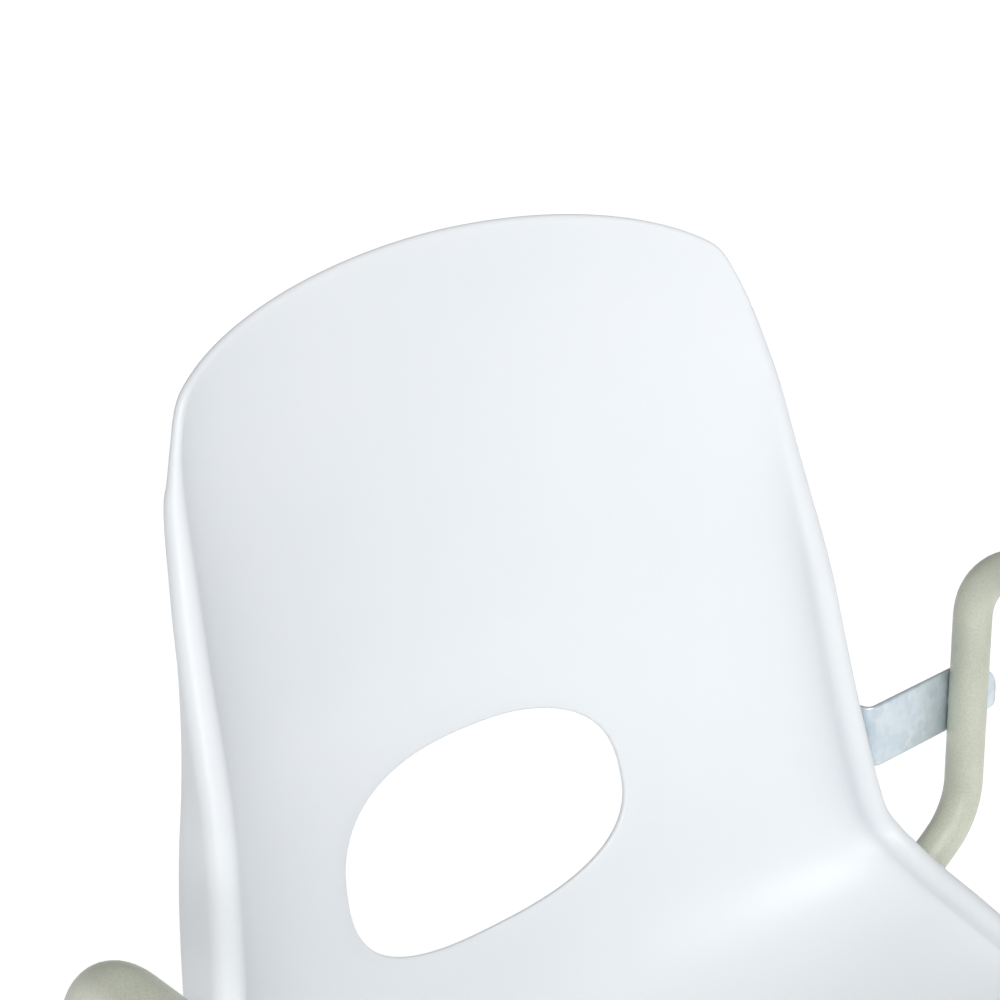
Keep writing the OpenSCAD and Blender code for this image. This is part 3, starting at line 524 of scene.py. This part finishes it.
def sheet_normals(s, u):
    """Directions square to the sheet, on the sitter's side, from its slope across and along."""
    du, ds = 0.004, 0.8
    across = shell_point(s, np.minimum(u + du, 1)) - shell_point(s, np.maximum(u - du, -1))
    ahead = shell_point(np.minimum(s + ds, LENGTH), u) - shell_point(np.maximum(s - ds, 0), u)
    normals = np.cross(across, ahead).reshape(-1, 3)
    return normals / np.linalg.norm(normals, axis=1)[:, None]


def sheet_faces(rows, columns, block):
    """Faces of both skins, without the block of cells left out for the opening."""
    i0, i1, j0, j1 = block
    count = rows * columns
    faces = []
    for j in range(rows - 1):
        for i in range(columns - 1):
            if not (j0 <= j < j1 and i0 <= i < i1):
                a = j * columns + i
                faces.append((a, a + 1, a + columns + 1, a + columns))
                faces.append(tuple(count + k for k in (a, a + columns, a + columns + 1, a + 1)))
    return faces


def loop_round(block, columns):
    """Grid points round a block, walked anticlockwise: a block is its first and last column and row."""
    i0, i1, j0, j1 = block
    return np.array([*(j0 * columns + i for i in range(i0, i1)),
                     *(j * columns + i1 for j in range(j0, j1)),
                     *(j1 * columns + i for i in range(i1, i0, -1)),
                     *(j * columns + i0 for j in range(j1, j0, -1))])


def outward(loop, points, normals):
    """Directions in the skin's plane, away from the loop's inside, along a loop walked anticlockwise."""
    along = points[np.roll(loop, -1)] - points[np.roll(loop, 1)]
    out = np.cross(along, normals[loop])
    return out / np.linalg.norm(out, axis=1)[:, None]


def rolled_rim(start, up, out, r, skirt, wall):
    """The rim's loops: out over the roll, down the skirt, round its tip and back up inside."""
    def rolled(angle, reach, drop):
        turned_by = math.radians(angle)
        return start - r * up + reach * (up * math.cos(turned_by) + out * math.sin(turned_by)) - out * drop

    half_wall = wall / 2
    levels = [rolled(a, r, 0) for a in range(15, 181, 15)]
    levels += [rolled(180, r, skirt * k) for k in (0.33, 0.66, 1)]
    for a in range(30, 151, 30):
        tip = math.radians(a)
        reach, drop = r - half_wall + half_wall * math.cos(tip), skirt + half_wall * math.sin(tip)
        levels.append(rolled(180, reach, drop))
    levels += [rolled(180, r - wall, skirt * k) for k in (1, 0.5)]
    levels += [rolled(a, r - wall, 0) for a in range(180, 14, -15)]
    return levels


def rounded_lip(start, up, out):
    """The opening's loops: round the lip from the sitter's side to the back."""
    front, rear = [], []
    for a in (30, 60, 90):
        tip = math.radians(a)
        rim, sunk = start + out * LIP_ROUND * math.sin(tip), LIP_ROUND * (1 - math.cos(tip))
        front.append(rim - up * sunk)
        rear.append(rim - up * (SHELL_WALL - sunk))
    return front + rear[::-1]


def band(loop, count, first, back):
    """Faces that run from the inner skin's loop over count new loops to the outer skin, back points on."""
    n = len(loop)

    def at(level, k):
        if level < 0:
            return int(loop[k % n])
        if level >= count:
            return back + int(loop[k % n])
        return first + level * n + k % n

    return [(at(v, k + 1), at(v, k), at(v + 1, k), at(v + 1, k + 1))
            for v in range(-1, count) for k in range(n)]


def build_shell():
    """The moulded shell: both skins, the rolled rim with its skirt, and the opening's rounded lip."""
    along, across = grid_lines()
    rows, columns = len(along), len(across)
    s, u = opened(*rounded_corners(*np.meshgrid(along, across, indexing="ij")))
    inner, normals = shell_point(s, u).reshape(-1, 3), sheet_normals(s, u)
    rim_wall = np.minimum(SHELL_WALL, curve(RIM_RADII, along) - 0.3)
    walls = np.full((rows, columns), float(SHELL_WALL))
    walls[:, 0] = walls[:, -1] = rim_wall
    walls[0], walls[-1] = rim_wall[0], rim_wall[-1]
    outer = inner - walls.reshape(-1, 1) * normals

    whole = (0, columns - 1, 0, rows - 1)
    block = (CELLS_BESIDE, CELLS_BESIDE + 2 * CELLS_OVER, ROWS_BELOW, ROWS_BELOW + ROWS_BESIDE)
    rim_loop, lip_loop = loop_round(whole, columns), loop_round(block, columns)
    rim_row = rim_loop // columns
    rim = rolled_rim(inner[rim_loop], normals[rim_loop], outward(rim_loop, inner, normals),
                     curve(RIM_RADII, along[rim_row])[:, None], curve(SKIRTS, along[rim_row])[:, None],
                     rim_wall[rim_row][:, None])
    lip = rounded_lip(inner[lip_loop], normals[lip_loop], -outward(lip_loop, inner, normals))
    points = np.concatenate((inner, outer, *rim, *lip))

    back = rows * columns
    first_rim = 2 * back
    first_lip = first_rim + len(rim) * len(rim_loop)
    faces = sheet_faces(rows, columns, block) + band(rim_loop, len(rim), first_rim, back)
    faces += [tuple(reversed(f)) for f in band(lip_loop, len(lip), first_lip, back)]

    used = np.zeros(len(points), bool)
    used[np.array(faces).ravel()] = True
    renumber = np.cumsum(used) - 1
    faces = [tuple(int(renumber[k]) for k in f) for f in faces]
    piece("shell_moulding", points[used], faces, "seat", "shell_plastic", "seat_shell")


# ---- Back straps ----
STRAP_T, STRAP_H = 3, 38
STRAP_Z = SEAT_Z + 117
STRAP_Y = REAR_POST_Y + TUBE_R
# The straps meet the shell's rim over these distances along its middle line
STRAP_FROM, STRAP_TO = 463, 503
STRAP_BEND, STRAP_TAB = 4, 30
TAIL_X, TAIL_R, TAIL_CORNER = POST_X + 43, 13, 3
# Where the falling top edge runs into the tail's arc, in tail radii in from its end and up from its foot
TAIL_MEETS = (0.61, 1.93)


def rim_side(s):
    """How far out the rolled rim stands from the middle, with a little room."""
    return float(curve(WIDTHS, np.array(s)) + 2 * curve(RIM_RADII, np.array(s))) + 0.3


def build_straps():
    """Flat bars from the posts to the shell, bent back along its skirt, with a rounded tail past the post."""
    low, high = rim_side(STRAP_FROM), rim_side(STRAP_TO)
    flat_y, half = STRAP_Y + STRAP_T, STRAP_H / 2
    fall_x = POST_X + 4
    fall_end, fall_top = TAIL_X - TAIL_R * TAIL_MEETS[0], TAIL_R * TAIL_MEETS[1] - half
    # Each station is the back line of one cross-section, from the tab to the start of the flat
    stations = [((0, STRAP_Y + STRAP_TAB), (-1, 0)), ((0, flat_y + STRAP_BEND), (-1, 0))]
    for a in range(15, 91, 15):
        c, s = math.cos(math.radians(a)), math.sin(math.radians(a))
        stations.append(((STRAP_BEND - STRAP_BEND * c, flat_y + STRAP_BEND - STRAP_BEND * s), (-c, -s)))
    for side, sign in (("left", 1), ("right", -1)):
        rings = [strap_ring((low + dx + STRAP_T, high + dx + STRAP_T), y, normal, -half, half, sign)
                 for (dx, y), normal in stations]
        for x in (POST_X - 30, POST_X, *(fall_x + step for step in (-3, 0, 3, 12, 22))):
            top = half - (half - fall_top) * max(x - fall_x, 0) / (fall_end - fall_x)
            rings.append(strap_ring((x, x), flat_y, (0, -1), -half, top, sign))
        for x in (*np.linspace(fall_end, TAIL_X - 2, 7), *(TAIL_X - step for step in (1.3, 0.6, 0.25, 0))):
            top = TAIL_R - half + math.sqrt(max(TAIL_R ** 2 - (x - TAIL_X + TAIL_R) ** 2, 0))
            past = max(x - TAIL_X + TAIL_CORNER, 0)
            foot = math.sqrt(max(TAIL_CORNER ** 2 - past ** 2, 0)) - TAIL_CORNER
            rings.append(strap_ring((x, x), flat_y, (0, -1), -half - foot, top, sign))
        points, faces = loft(rings)
        if sign > 0:
            faces = [tuple(reversed(f)) for f in faces]
        piece(f"{side}_strap", points, faces, "seat", "zinc_steel", f"{side}_back_strap")


def strap_ring(xs, y, normal, bottom, top, sign):
    """One cross-section of the bar, with rounded edges: xs are its back line's x at the bar's two edges."""
    edge = 0.9
    outline = [(bottom, 0.35), (bottom, 0.65), (bottom + edge * 0.3, 0.92), (bottom + edge, 1),
               (top - edge, 1), (top - edge * 0.3, 0.92), (top, 0.65), (top, 0.35),
               (top - edge * 0.3, 0.08), (top - edge, 0), (bottom + edge, 0), (bottom + edge * 0.3, 0.08)]
    points = []
    for h, depth in outline:
        t = (h / (STRAP_H / 2) + 1) / 2
        x = xs[0] + (xs[1] - xs[0]) * t + normal[0] * depth * STRAP_T
        points.append((sign * x, y + normal[1] * depth * STRAP_T, STRAP_Z + h))
    return points


# ---- Feet, knobs and grip ----
FOOT_SIDES = 56
# Height above the floor and radius: the grooved sole, the bead and the cone, then the sleeve with its ribs
FOOT_SOLE = [(0.0, 5.0), (1.2, 6.0), (1.2, 8.0), (0.0, 9.0), (0.0, 11.5), (1.2, 12.5), (1.2, 14.5),
             (0.0, 15.5), (0.0, 17.8), (0.5, 18.7), (1.6, 19.0), (3.2, 19.0), (3.8, 18.3), (4.6, 18.3),
             (5.2, 19.0), (7.0, 19.0), (8.0, 18.5), (8.8, 17.4), (11.0, 15.9), (14.0, 14.5),
             (17.0, 13.6), (20.0, 13.1)]
FOOT_SLEEVE = [(23.0, 12.7), (26.0, 12.5), (29.0, 12.5), (29.6, 12.0), (31.0, 12.0), (31.6, 12.5),
               (34.0, 12.5), (34.6, 12.0), (36.0, 12.0), (36.6, 12.5), (39.0, 12.5), (40.0, 12.6),
               (41.2, 12.3), (41.8, 11.6), (41.8, 9.4)]


def foot_ring(z, radius):
    """A ring of the left rear foot: level on the floor, and square to the leg further up."""
    lean, along_leg = float(smooth(np.array((z - 8) / 14))), smooth(np.array(z / 22))
    axis = unit(np.array((0, 0, 1.0)) * (1 - lean) - LEG_DIR * lean)
    x = unit(np.cross((0, 1.0, 0), axis))
    low_centre = np.array((FOOT_X, FOOT_Y, z)) * (1 - along_leg) + leg_at(z) * along_leg
    return ring(leg_at(z) * lean + low_centre * (1 - lean), x, np.cross(axis, x), [radius] * FOOT_SIDES)


def build_feet():
    """Rubber ferrules: a grooved sole, a cone, and a ribbed sleeve that follows the leg."""
    tip = ring(leg_at(0), np.array((1.0, 0, 0)), np.array((0, 1.0, 0)), [0.5] * FOOT_SIDES)
    for key, (fx, fy) in LEG_KEYS.items():
        points, faces = loft([tip] + [foot_ring(z, radius) for z, radius in FOOT_SOLE + FOOT_SLEEVE])
        points = [flipped(p, fx, fy) for p in points]
        if fx * fy < 0:
            faces = [tuple(reversed(f)) for f in faces]
        piece(f"ferrule_{key}", points, faces, f"leg_{key}", "grey_rubber", f"foot_{key}")


KNOB_SIDES, KNOB_LOBES, LOBE_DEPTH, LOBE_POWER = 100, 5, 3.0, 1.6
# Distance along the axis, radius, and how deep the hollows between the lobes are, from 0 to 1
KNOB_PROFILE = [(0, 3.1, 0), (0, 6.0, 0), (0.5, 6.5, 0), (3.2, 6.5, 0), (4.0, 7.2, 0.1), (4.4, 10.5, 0.5),
                (5.0, 13.6, 1), (6.0, 14.7, 1), (7.5, 15.0, 1), (10.5, 15.0, 1), (12.2, 14.6, 1),
                (13.3, 13.5, 0.9), (13.8, 12.0, 0.7), (14.0, 9.5, 0.3), (14.0, 7.6, 0), (13.4, 6.9, 0),
                (13.0, 5.5, 0), (12.8, 3.0, 0), (12.75, 0.3, 0)]
SCREW_R, SCREW_PITCH, SCREW_SIDES = 3.0, 1.0, 24


def build_knobs():
    """Five-lobed clamp knobs with a dished cap, on a steel screw."""
    x, y = square_to(CLAMP_DIR)
    start = BOSS_END + KNOB_GAP
    angles = 2 * np.pi * np.arange(KNOB_SIDES) / KNOB_SIDES
    hollow = np.abs(np.sin(KNOB_LOBES * angles / 2)) ** LOBE_POWER
    for key, (fx, fy) in LEG_KEYS.items():
        rings = [ring(CLAMP_AT + CLAMP_DIR * (start + h), x, y, r - LOBE_DEPTH * deep * hollow)
                 for h, r, deep in KNOB_PROFILE]
        points, faces = loft(rings)
        screw_points, screw_faces = loft(screw_rings(CLAMP_AT, CLAMP_DIR, INNER_LEG_R + 0.4, start + 3))
        offset, screw_first = len(points), len(faces)
        points += screw_points
        faces += [tuple(k + offset for k in f) for f in screw_faces]
        points = [flipped(p, fx, fy) for p in points]
        if fx * fy < 0:
            faces = [tuple(reversed(f)) for f in faces]
        knob = piece(f"star_knob_{key}", points, faces, f"knob_{key}", "black_plastic", f"clamp_knob_{key}")
        knob.data.materials.append(FINISHES["bright_steel"])
        for face in knob.data.polygons[screw_first:]:
            face.material_index = 1


def screw_rings(origin, axis, start, end):
    """Rings of a screw whose thread is a row of ridges, one each pitch."""
    profile = [(start, 0.5), (start, SCREW_R - 0.9)]
    h = start + 0.6
    while h < end - SCREW_PITCH:
        profile += [(h, SCREW_R - 0.45), (h + 0.4 * SCREW_PITCH, SCREW_R), (h + 0.6 * SCREW_PITCH, SCREW_R)]
        h += SCREW_PITCH
    profile += [(end, SCREW_R), (end, 0.5)]
    return turned(origin, axis, profile, SCREW_SIDES)


GRIP_WAVES, GRIP_WAVE_DEPTH, GRIP_STEPS, GRIP_SIDES = 4, 0.55, 60, 48


def build_grip():
    """The lock lever's grip: a round sleeve with shallow finger rings and a domed end."""
    low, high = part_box("lever_grip")
    end_x, start_x = low.x / MM, high.x / MM
    radius = (high.z - low.z) / 2 / MM
    centre_z = (high.z + low.z) / 2 / MM
    length = start_x - end_x
    profile = []
    for k in range(13):
        a = math.radians(90 * k / 12)
        profile.append((radius * (1 - math.cos(a)), max(radius * math.sin(a), 0.05)))
    for k in range(1, GRIP_STEPS + 1):
        h = radius + (length - radius - 1.2) * k / GRIP_STEPS
        wave = GRIP_WAVE_DEPTH * (1 - math.cos(2 * math.pi * GRIP_WAVES * k / GRIP_STEPS)) / 2
        fade = float(smooth(np.array(k / 10))) * float(smooth(np.array((GRIP_STEPS - k) / 8)))
        profile.append((h, radius - wave * fade))
    profile += [(length - 0.5, radius - 0.35), (length, radius - 1.2), (length, 1.0)]
    points, faces = loft(turned((end_x, 0, centre_z), (1, 0, 0), profile, GRIP_SIDES))
    piece("grip_sleeve", points, faces, "lever", "black_plastic", "lever_grip")


# ---- Weld beads ----
RAIL_WELD_R, BOSS_WELD_R = 1.8, 1.3
WELD_SIDES = 10


def weld(name, path, radius):
    """A bead of overlapping puddles along a closed path of points."""
    count = len(path)
    rings = []
    for k, point in enumerate(path):
        ahead = unit(np.array(path[(k + 1) % count]) - np.array(path[k - 1]))
        x, y = square_to(ahead)
        swell = radius * (1 + 0.14 * math.cos(k * math.pi / 2))
        rings.append(ring(np.array(point), x, y, [swell] * WELD_SIDES))
    points, faces = loft(rings, closed=True)
    piece(name, points, faces, "base", "coated_tube")


def rail_weld_path(fx, fy):
    """Round the end of a cross rail, on the side of its hoop's tube."""
    half, steps = RAIL_WIDTH / 2, 14
    half_height = min(half, TUBE_R - 0.6)
    corners = [(-1, -1), (1, -1), (1, 1), (-1, 1)]
    path = []
    for (ya, za), (yb, zb) in zip(corners, corners[1:] + corners[:1]):
        for k in range(steps):
            t = k / steps
            dy, dz = (ya + (yb - ya) * t) * half, (za + (zb - za) * t) * half_height
            x = HOOP_X - math.sqrt(TUBE_R ** 2 - dz ** 2)
            path.append((fx * x, fy * (RAIL_Y + dy), HOOP_Z + dz))
    return path


def boss_weld_path(fx, fy):
    """Round a clamp boss, on its leg's tube."""
    side_dir = np.cross(CLAMP_DIR, LEG_DIR)
    reach, steps = BOSS_R + 0.2, 48
    path = []
    for k in range(steps):
        a = 2 * math.pi * k / steps
        across, along = reach * math.sin(a), reach * math.cos(a)
        path.append(flipped(CLAMP_AT + side_dir * across + LEG_DIR * along
                            + CLAMP_DIR * math.sqrt(TUBE_R ** 2 - across ** 2), fx, fy))
    return path


def build_welds():
    """Beads where the cross rails meet the hoops, and where the clamp bosses meet the legs."""
    for side, fx in (("left", 1), ("right", -1)):
        for end, fy in (("rear", 1), ("front", -1)):
            weld(f"rail_weld_{end}_{side}", rail_weld_path(fx, fy), RAIL_WELD_R)
    for key, (fx, fy) in LEG_KEYS.items():
        weld(f"boss_weld_{key}", boss_weld_path(fx, fy), BOSS_WELD_R)


# ---- Carried-over CAD nodes ----
PRESSED_NODES = ("turntable_top_plate", "turntable_bottom_plate", "left_rail", "right_rail",
                 "front_cross_rail", "rear_cross_rail", "lock_lever", "lever_bracket")


def finish_cad_nodes():
    """Gives every CAD node its slot's material, and plates and rails slightly rounded edges."""
    slots = {row["node"]: row["material_slot"] for row in frame["record"]["subparts"]}
    for name, obj in frame["nodes"].items():
        obj.data.materials.clear()
        obj.data.materials.append(FINISHES[slots[name]])
        if name in PRESSED_NODES:
            bevelled(obj, 0.5)


# ---- Floor, light and camera ----
def build_stage():
    """A pale floor, 28 metres each way, that glows faintly as under studio light."""
    floor_mesh = bpy.data.meshes.new("floor")
    reach = 14
    floor_mesh.from_pydata([(-reach, -reach, 0), (reach, -reach, 0), (reach, reach, 0), (-reach, reach, 0)],
                           [], [(0, 1, 2, 3)])
    floor = bpy.data.objects.new("floor", floor_mesh)
    bpy.context.scene.collection.objects.link(floor)
    f = Finish("pale floor")
    f.colour(f.ramp(f.noise(0.6, 3), (0.93, 0.93, 0.93), (0.955, 0.955, 0.955)))
    f.roughness(f.ramp(f.noise(0.3, 3), 0.7, 0.8))
    f.shader.inputs["Emission Strength"].default_value = 0.42
    floor_mesh.materials.append(f.material)


def soft_sun(name, direction, strength, angle, tint):
    """A very soft, even light that comes from the side given by direction."""
    data = bpy.data.lights.new(name, "SUN")
    data.energy = strength
    data.angle = math.radians(angle)
    data.color = tint
    light = bpy.data.objects.new(name, data)
    light.location = direction
    light.rotation_mode = "QUATERNION"
    light.rotation_quaternion = (-Vector(direction)).to_track_quat("-Z", "Y")
    bpy.context.scene.collection.objects.link(light)


def build_lights():
    soft_sun("key", (-0.68, -0.7, 0.25), 1.0, 25, (1.0, 0.995, 0.98))
    soft_sun("sheen", (-0.12, -0.64, 0.75), 1.65, 40, (1.0, 0.995, 0.985))
    build_sky(overhead=(0.38, 0.38, 0.38), level=(0.01, 0.02, 0.04))
    bpy.context.scene.view_settings.view_transform = "Standard"


def build_sky(overhead, level):
    """Studio walls: bright overhead, dim at eye level and below. The camera itself sees plain white."""
    world = bpy.data.worlds.new("studio")
    world.use_nodes = True
    nodes, links = world.node_tree.nodes, world.node_tree.links
    direction = nodes.new("ShaderNodeTexCoord").outputs["Generated"]
    facing = nodes.new("ShaderNodeVectorMath")
    facing.operation = "DOT_PRODUCT"
    facing.inputs[1].default_value = (0, 0, 1)
    links.new(direction, facing.inputs[0])
    span = nodes.new("ShaderNodeMapRange")
    span.inputs["From Min"].default_value = 0.0
    span.inputs["From Max"].default_value = 1.0
    links.new(facing.outputs["Value"], span.inputs["Value"])
    walls = nodes.new("ShaderNodeMix")
    walls.data_type = "RGBA"
    walls.inputs[MIX_A].default_value = (*level, 1)
    walls.inputs[MIX_B].default_value = (*overhead, 1)
    links.new(span.outputs["Result"], walls.inputs[MIX_FACTOR])
    seen = nodes.new("ShaderNodeMix")
    seen.data_type = "RGBA"
    seen.inputs[MIX_B].default_value = (1, 1, 1, 1)
    links.new(nodes.new("ShaderNodeLightPath").outputs["Is Camera Ray"], seen.inputs[MIX_FACTOR])
    links.new(walls.outputs[MIX_RESULT], seen.inputs[MIX_A])
    links.new(seen.outputs[MIX_RESULT], nodes["Background"].inputs["Color"])
    bpy.context.scene.world = world


# In metres and degrees: turned from straight ahead towards +X, tilted down, rolled; the lens in millimetres
CAMERA_AT = Vector((-0.763, -0.636, 1.151))
CAMERA_TURN, CAMERA_TILT, CAMERA_ROLL = 43.43, 20.71, -1.05
CAMERA_LENS = 88.36


def build_camera():
    """Looks down into the chair from the sitter's front right."""
    turn, tilt, roll = (math.radians(v) for v in (CAMERA_TURN, CAMERA_TILT, CAMERA_ROLL))
    ahead = Vector((math.sin(turn) * math.cos(tilt), math.cos(turn) * math.cos(tilt), -math.sin(tilt)))
    level = Vector((math.cos(turn), -math.sin(turn), 0))
    square = level.cross(ahead)
    right = level * math.cos(roll) + square * math.sin(roll)
    up = square * math.cos(roll) - level * math.sin(roll)
    data = bpy.data.cameras.new("camera")
    data.lens = CAMERA_LENS
    data.sensor_width = 36
    data.clip_start, data.clip_end = 0.05, 60
    camera = bpy.data.objects.new("camera", data)
    bpy.context.scene.collection.objects.link(camera)
    camera.matrix_world = Matrix.Translation(CAMERA_AT) @ Matrix((right, up, -ahead)).transposed().to_4x4()
    bpy.context.scene.camera = camera


build_camera()
build_lights()
build_stage()
finish_cad_nodes()
build_shell()
build_tubes()
build_straps()
build_feet()
build_knobs()
build_grip()
build_welds()
